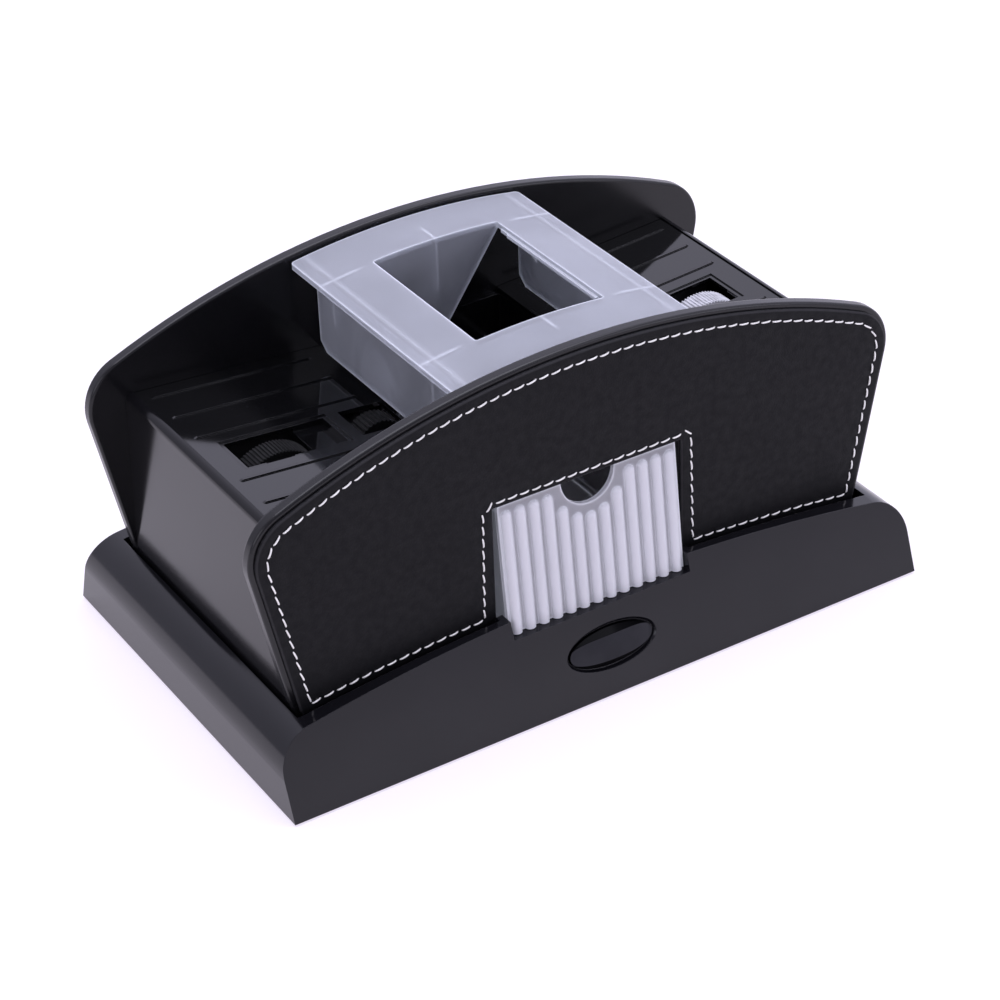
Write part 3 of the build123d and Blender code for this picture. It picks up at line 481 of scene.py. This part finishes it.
def face_outline(node, side):
    """Outline in (x, z) of the node's flat face that looks along side * Y, in order."""
    mesh = welded(node)
    mesh.normal_update()
    facing = {f for f in mesh.faces if f.normal.y * side > 0.99}
    follow = {}
    for edge in mesh.edges:
        beside = [f for f in edge.link_faces if f in facing]
        if len(beside) == 1:
            for vert in edge.verts:
                follow.setdefault(vert, []).append(edge.other_vert(vert))
    start = min(follow, key=lambda vert: (vert.co.x, vert.co.z))
    loop, previous, current = [start], None, start
    while True:
        following = next(v for v in follow[current] if v is not previous)
        if following is start:
            break
        loop.append(following)
        previous, current = current, following
    points = [Vector((vert.co.x, vert.co.z)) for vert in loop]
    mesh.free()
    if signed_area(points) < 0:
        points.reverse()
    return points


def signed_area(points):
    """The outline's area, above zero when it runs counter-clockwise."""
    return 0.5 * sum(a.x * b.y - b.x * a.y for a, b in zip(points, points[1:] + points[:1]))


def resampled(points, step, closed=True):
    """Points about step apart along the same line, keeping its corners."""
    result = []
    ends = points[1:] + points[:1] if closed else points[1:]
    for a, b in zip(points, ends):
        count = max(1, round((b - a).length / step))
        result += [a.lerp(b, i / count) for i in range(count)]
    if not closed:
        result.append(points[-1])
    return result


def inset(points, depth):
    """The counter-clockwise outline moved inwards by depth."""
    result = []
    for index, point in enumerate(points):
        before = (point - points[index - 1]).normalized()
        after = (points[(index + 1) % len(points)] - point).normalized()
        normals = [Vector((-d.y, d.x)) for d in (before, after)]
        middle = (normals[0] + normals[1]).normalized()
        stretch = max(0.35, middle.dot(normals[0]))
        result.append(point + middle * depth / stretch)
    return result


PAD_STEP = 2.2 * MM
PAD_CROWN = 0.30 * MM
PAD_DRIFT = 0.08 * MM
LIP_WIDTH = 0.60 * MM
SEAM_INSET = 3.9 * MM
SEAM_DEPTH = 0.16 * MM
SEAM_SPREAD = 0.9 * MM
FIELD_STEP = 3.0 * MM


def distance_to(path, point):
    """How far a point is from the nearest point of the path."""
    return min((point - p).length for p in path)


def fill(mesh, outline, extra, place):
    """Fills the outline with triangles over its own points and extra ones, put where place says."""
    edges = [(i, (i + 1) % len(outline)) for i in range(len(outline))]
    made, _, triangles, *_ = delaunay_2d_cdt(list(outline) + extra, edges, [], 1, 1e-7)
    corners = [mesh.verts.new(place(p)) for p in made]
    for triangle in triangles:
        centre = sum((made[i] for i in triangle), Vector((0, 0))) / 3
        if inside(outline, centre):
            mesh.faces.new([corners[i] for i in triangle])


def field_points(rim, seam_points):
    """A grid of points inside the rim, clear of it and of the seam."""
    lowest = Vector((min(p.x for p in rim), min(p.y for p in rim)))
    highest = Vector((max(p.x for p in rim), max(p.y for p in rim)))
    columns = int((highest.x - lowest.x) / FIELD_STEP)
    rows = int((highest.y - lowest.y) / FIELD_STEP)
    points = []
    for i in range(columns):
        for j in range(rows):
            point = Vector((lowest.x + (i + 0.5) * FIELD_STEP, lowest.y + (j + 0.5) * FIELD_STEP))
            clear_of_rim = distance_to(rim, point) > 1.2 * MM
            clear_of_seam = distance_to(seam_points, point) > 1.6 * MM
            if clear_of_rim and clear_of_seam and inside(rim, point):
                points.append(point)
    return points


def seam_side_points(rim, seam):
    """Points along the seam and on both sides of it, which give its groove a shape."""
    points = []
    for offset in (-0.8 * MM, 0.0, 0.8 * MM):
        for point in inset(resampled(seam, 1.5 * MM), offset):
            if inside(rim, point) and distance_to(rim, point) > 0.5 * MM:
                points.append(point)
    return points


def make_pad(name, side, surface_y, back_y, outline, seam):
    """A leather panel: cut edge, rounded lip, pressed seam groove and a barely crowned field."""
    outline = resampled(outline, PAD_STEP)
    mesh = bmesh.new()
    thick = abs(surface_y - back_y)
    profile = ((0.0, 0.0), (0.0, thick * 0.66), (LIP_WIDTH * 0.3, thick * 0.87), (LIP_WIDTH, thick))
    rings = []
    for depth, height in profile:
        ring = inset(outline, depth) if depth else outline
        rings.append([mesh.verts.new((p.x, back_y + side * height, p.y)) for p in ring])
    for low, high in zip(rings, rings[1:]):
        for i in range(len(low)):
            j = (i + 1) % len(low)
            face = mesh.faces.new((low[i], low[j], high[j], high[i]))
            face.material_index = 1 if low is rings[0] else 0
    rim = inset(outline, LIP_WIDTH)
    seam_points = resampled(seam, 1.0 * MM)

    def surface_height(p):
        """Height of the leather over its back: level at the rim, with a groove and a soft crown."""
        from_rim = distance_to(rim, p)
        if from_rim < 0.01 * MM:
            return thick
        groove = -SEAM_DEPTH * math.exp(-((distance_to(seam_points, p) / SEAM_SPREAD) ** 2))
        swell = PAD_CROWN * (1 - math.exp(-max(0, from_rim - 4.5 * MM) / (9 * MM)))
        drift = 0
        if from_rim > 1.5 * MM:
            drift = PAD_DRIFT * noise.noise(Vector((p.x, p.y, side)) * 60)
        return thick + groove + swell + drift

    extra = field_points(rim, seam_points) + seam_side_points(rim, seam)
    fill(mesh, rim, extra, lambda p: (p.x, back_y + side * surface_height(p), p.y))
    fill(mesh, outline, [], lambda p: (p.x, back_y, p.y))
    bmesh.ops.remove_doubles(mesh, verts=mesh.verts, dist=1e-5)
    bmesh.ops.recalc_face_normals(mesh, faces=mesh.faces)
    return finish_mesh(mesh, name, [looks["leather"], looks["leather_edge"]])


def inside(polygon, point):
    """Whether a point lies in the polygon, by counting crossings."""
    crossings = False
    for a, b in zip(polygon, polygon[1:] + polygon[:1]):
        if (a.y > point.y) != (b.y > point.y):
            if point.x < a.x + (point.y - a.y) / (b.y - a.y) * (b.x - a.x):
                crossings = not crossings
    return crossings


def finish_mesh(mesh, name, materials, smooth=True):
    """Turns the bmesh into an object in the scene."""
    data = bpy.data.meshes.new(name)
    mesh.to_mesh(data)
    mesh.free()
    for material in materials:
        data.materials.append(material)
    if smooth:
        data.shade_smooth()
    piece = bpy.data.objects.new(name, data)
    bpy.context.scene.collection.objects.link(piece)
    return piece


STITCH_PITCH = 4.6 * MM
STITCH_LENGTH = 3.9 * MM
THREAD_RADIUS = 0.30 * MM
STITCH_LEAN = math.radians(7)
STITCH_STATIONS = 7
STITCH_SIDES = 8


def add_stitch(mesh, middle, along, side, surface_y, length):
    """One stitch: thread that comes up out of its hole, lies on the leather and goes down again."""
    rings = []
    across = Vector((-along.y, along.x))
    for station in range(STITCH_STATIONS):
        t = station / (STITCH_STATIONS - 1)
        lift = math.sin(math.pi * t) ** 0.35 if 0 < t < 1 else 0.0
        radius = THREAD_RADIUS * (0.75 + 0.25 * lift)
        place = middle + along * (t - 0.5) * length
        height = surface_y + side * (-0.42 * MM + 0.62 * MM * lift)
        ring = []
        for k in range(STITCH_SIDES):
            angle = 2 * math.pi * k / STITCH_SIDES
            spot = place + across * radius * math.cos(angle)
            ring.append(mesh.verts.new((spot.x, height + side * radius * math.sin(angle), spot.y)))
        rings.append(ring)
    for low, high in zip(rings, rings[1:]):
        for k in range(STITCH_SIDES):
            j = (k + 1) % STITCH_SIDES
            mesh.faces.new((low[k], low[j], high[j], high[k]))
    mesh.faces.new(rings[0])
    mesh.faces.new(rings[-1])


def make_stitching(name, side, surface_y, paths):
    """Running stitches along the paths, each leaning and as long as chance says."""
    mesh = bmesh.new()
    for path in paths:
        line = resampled(path, 0.5 * MM, closed=False)
        travelled = 0.0
        total = sum((b - a).length for a, b in zip(line, line[1:]))
        count = max(1, round(total / STITCH_PITCH))
        pitch = total / count
        due = pitch * 0.5
        for a, b in zip(line, line[1:]):
            span = (b - a).length
            while due <= travelled + span:
                middle = a.lerp(b, (due - travelled) / span)
                along = (b - a).normalized()
                lean = STITCH_LEAN + random.uniform(-0.05, 0.05)
                along = Matrix.Rotation(lean, 2) @ along
                length = STITCH_LENGTH * random.uniform(0.94, 1.06)
                add_stitch(mesh, middle, along, side, surface_y, length)
                due += pitch
            travelled += span
    bmesh.ops.recalc_face_normals(mesh, faces=mesh.faces)
    return finish_mesh(mesh, name, [looks["thread"]])


# the bottom seam follows the base's arched top: its drop is this times x squared
ARCH_DROP = 0.62
SEAM_OVER_BASE = 0.4 * MM
CUTOUT_SEAM_X = 41.0 * MM
CUTOUT_SEAM_RISE = 2.5 * MM


def leather_panels():
    """Both leather panels with their seams, in place of the CAD's plain ones."""
    base_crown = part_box("base_housing")[1][2]
    plain = face_outline("leather_pad_back", 1)

    def bottom_row(x):
        return base_crown + SEAM_OVER_BASE - ARCH_DROP * x * x

    upper = inset(resampled(plain, PAD_STEP), SEAM_INSET)
    upper = [p for p in upper if p.y > bottom_row(p.x) + 1.6 * MM]
    gaps = [(b - a).length for a, b in zip(upper, upper[1:] + upper[:1])]
    turn = next(i for i, gap in enumerate(gaps) if gap > 20 * MM)
    upper = upper[turn + 1 :] + upper[: turn + 1]
    # upper now runs from the right foot over the top to the left foot
    right_foot = Vector((upper[0].x, bottom_row(upper[0].x)))
    left_foot = Vector((upper[-1].x, bottom_row(upper[-1].x)))
    upper = [right_foot] + upper + [left_foot]

    def row(x0, x1):
        steps = 24
        xs = [x0 + (x1 - x0) * i / steps for i in range(steps + 1)]
        return [Vector((x, bottom_row(x))) for x in xs]

    cut_x = CUTOUT_SEAM_X
    cut_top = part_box("card_drawer")[1][2] + CUTOUT_SEAM_RISE
    opening = [
        Vector((-cut_x - 0.6 * MM, bottom_row(cut_x))),
        Vector((-cut_x + 0.3 * MM, cut_top - 3.4 * MM)),
        Vector((-cut_x + 3.6 * MM, cut_top)),
        Vector((cut_x - 1.4 * MM, cut_top)),
        Vector((cut_x - 0.3 * MM, cut_top - 1.2 * MM)),
        Vector((cut_x + 0.6 * MM, bottom_row(cut_x))),
    ]
    whole_row = row(left_foot.x, right_foot.x)
    left_row = row(left_foot.x, opening[0].x)
    right_row = row(opening[-1].x, right_foot.x)
    front_seam = upper + left_row[1:] + opening[1:-1] + right_row[:-1]
    layout = {
        "back": (1, upper + whole_row[1:-1], [upper, whole_row]),
        "front": (-1, front_seam, [upper, left_row, opening, right_row]),
    }
    for where, (side, seam, paths) in layout.items():
        node = f"leather_pad_{where}"
        low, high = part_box(node)
        surface_y, back_y = (high[1], low[1]) if side > 0 else (low[1], high[1])
        outline = face_outline(node, side)
        pad = make_pad(f"leather_{where}", side, surface_y, back_y, outline, seam)
        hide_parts(node)
        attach(pad, "base")
        stitches = make_stitching(f"stitching_{where}", side, surface_y, paths)
        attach(stitches, "base")


def button_return_spring():
    """The button's coil as a piece of its own, carried with the base."""
    coil = bpy.data.objects.new("return_spring", nodes["button_spring"].data.copy())
    bpy.context.scene.collection.objects.link(coil)
    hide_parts("button_spring")
    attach(coil, "base")
    normal = Vector(BUTTON_NORMAL)
    foot = min((vertex.co for vertex in coil.data.vertices), key=normal.dot).copy()
    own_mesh(coil)


# ---------------------------------------------------------------- stage
OBJECT_MIDDLE = Vector((0, 0, 60 * MM))
COOL_WHITE = (0.88, 0.88, 1.0)


def make_floor():
    """White paper under the object."""
    look = Look("floor_paper", (0.36, 0.36, 0.35), 0.85, specular_ior_level=0.0)
    look.set("Emission Color", (0.92, 0.85, 1.0, 1))
    look.set("Emission Strength", 0.75)
    look.bump(look.noise(2 * MM, 4), 0.03, 0.2 * MM)
    look.varied(0.01, 200 * MM)
    look.varied_roughness(0.8, 0.9, 50 * MM)
    # seen from below the floor is clear, so that the underside can be looked at
    clear = look.add("ShaderNodeBsdfTransparent")
    geometry = look.add("ShaderNodeNewGeometry")
    either = look.add("ShaderNodeMixShader")
    look.link(geometry.outputs["Backfacing"], either.inputs[0])
    look.link(look.bsdf.outputs["BSDF"], either.inputs[1])
    look.link(clear.outputs["BSDF"], either.inputs[2])
    look.link(either.outputs["Shader"], look.tree.nodes["Material Output"].inputs["Surface"])
    mesh = bmesh.new()
    bmesh.ops.create_grid(mesh, x_segments=8, y_segments=8, size=6.0)
    floor = finish_mesh(mesh, "floor", [look.done()], smooth=False)


def make_light(name, place, size, watts):
    """A soft cool lamp that looks at the middle of the object."""
    data = bpy.data.lights.new(name, "AREA")
    data.shape = "RECTANGLE"
    data.size, data.size_y = size
    data.energy = watts
    data.color = COOL_WHITE
    light = bpy.data.objects.new(name, data)
    away = (Vector(place) - OBJECT_MIDDLE).normalized()
    turn = away.to_track_quat("Z", "Y").to_matrix().to_4x4()
    light.matrix_world = Matrix.Translation(place) @ turn
    bpy.context.scene.collection.objects.link(light)


def make_world():
    """A cool white room, brighter behind the object than in front of it."""
    world = bpy.data.worlds.new("studio")
    world.use_nodes = True
    tree = world.node_tree
    place = tree.nodes.new("ShaderNodeTexCoord")
    towards_back = tree.nodes.new("ShaderNodeVectorMath")
    towards_back.operation = "DOT_PRODUCT"
    towards_back.inputs[1].default_value = (0.75, 0.55, 0.40)
    tree.links.new(place.outputs["Generated"], towards_back.inputs[0])
    strength = tree.nodes.new("ShaderNodeMapRange")
    for socket, number in zip(RANGE_SOCKETS, (-0.3, 0.8, 0.52, 1.35)):
        strength.inputs[socket].default_value = number
    tree.links.new(towards_back.outputs["Value"], strength.inputs["Value"])
    background = tree.nodes["Background"]
    background.inputs["Color"].default_value = (0.83, 0.815, 1.0, 1)
    tree.links.new(strength.outputs["Result"], background.inputs["Strength"])
    bpy.context.scene.world = world


def make_lights():
    """One large lamp overhead, a softbox on each side, and the room."""
    make_light("overhead", (0.1, 0.2, 1.6), (1.6, 1.2), 19)
    make_light("left_softbox", (-1.5, -0.4, 0.8), (1.0, 0.9), 6)
    make_light("right_softbox", (1.2, -1.3, 0.9), (0.9, 0.9), 5)
    make_world()
    bpy.context.scene.view_settings.view_transform = "Standard"


# ---------------------------------------------------------------- assembly of looks
looks = {
    "leather": leather_face(),
    "leather_edge": leather_edge(),
    "thread": thread(),
}
slot_looks = {
    "base_gloss": gloss_plastic("base_gloss", (0.0060, 0.0058, 0.0075), (0.13, 0.17), shine=0.39),
    "base_cover": matte_plastic("base_cover", (0.012, 0.012, 0.013)),
    "foot_rubber": rubber("foot_rubber", (0.012, 0.012, 0.012)),
    "screw_steel": metal("screw_steel", (0.62, 0.62, 0.64), (0.25, 0.4)),
    "shell_black": gloss_plastic("shell_black", (0.0045, 0.0043, 0.0052), (0.11, 0.15), shine=0.28),
    "platform_black": gloss_plastic(
        "platform_black", (0.0028, 0.0028, 0.0032), (0.05, 0.08), grain=0.008, edge=0.15 * MM, shine=0.54
    ),
    "panel_black": gloss_plastic("panel_black", (0.0050, 0.0049, 0.0058), (0.2, 0.27), shine=0.36),
    "cover_clear": frosted_plastic(
        "cover_clear", (0.57, 0.59, 0.64), cover_thick_parts, streaked=cover_low_parts
    ),
    # the drawer gets painted glow on its side walls as well as along its edges
    "drawer_clear": frosted_plastic(
        "drawer_clear", (0.62, 0.62, 0.65), drawer_thick_parts, drawer_side_painted_glow, drawer_clear_parts
    ),
    # painted reflection: the button's second colour, for its crown, is paler than the near-black of its
    # shoulders
    "button_black": button_plastic(
        "button_black", (0.0015, 0.0015, 0.0018), (0.033, 0.033, 0.037), (0.14, 0.2)
    ),
    "switch_plastic": matte_plastic("switch_plastic", (0.03, 0.03, 0.034)),
    "spring_steel": metal("spring_steel", (0.66, 0.66, 0.68), (0.2, 0.35)),
    "holder_black": matte_plastic("holder_black", (0.012, 0.012, 0.013)),
    "cell_label": cell_sleeve(),
    "contact_metal": metal("contact_metal", (0.72, 0.70, 0.66), (0.2, 0.35)),
    "frame_white": matte_plastic("frame_white", (0.012, 0.012, 0.013)),
    "bush_brass": metal("bush_brass", (0.68, 0.50, 0.22), (0.35, 0.5)),
    "shaft_steel": metal("shaft_steel", (0.64, 0.64, 0.66), (0.18, 0.3), (1, 0.2, 1)),
    "gear_white": matte_plastic("gear_white", (0.70, 0.70, 0.66), (0.3, 0.45), 0.05, 0.1),
    "pinion_brass": metal("pinion_brass", (0.72, 0.54, 0.24), (0.25, 0.4)),
    "motor_steel": metal("motor_steel", (0.55, 0.55, 0.57), (0.3, 0.45), (1, 0.3, 1)),
    "hub_plastic": matte_plastic("hub_plastic", (0.012, 0.012, 0.013)),
    "tyre_black": rubber("tyre_black", (0.004, 0.004, 0.0042)),
    "tyre_grey": rubber("tyre_grey", (0.52, 0.52, 0.55)),
}


def dress_nodes():
    """Gives each CAD node the procedural look of its material slot."""
    for entry in frame["record"]["subparts"]:
        slot = entry["material_slot"]
        data = nodes[entry["node"]].data
        look = looks["leather"] if slot == "leather" else slot_looks[slot]
        if not data.materials:
            data.materials.append(look)
        for index in range(len(data.materials)):
            data.materials[index] = look


make_camera()
dress_nodes()
leather_panels()
button_return_spring()
make_floor()
make_lights()
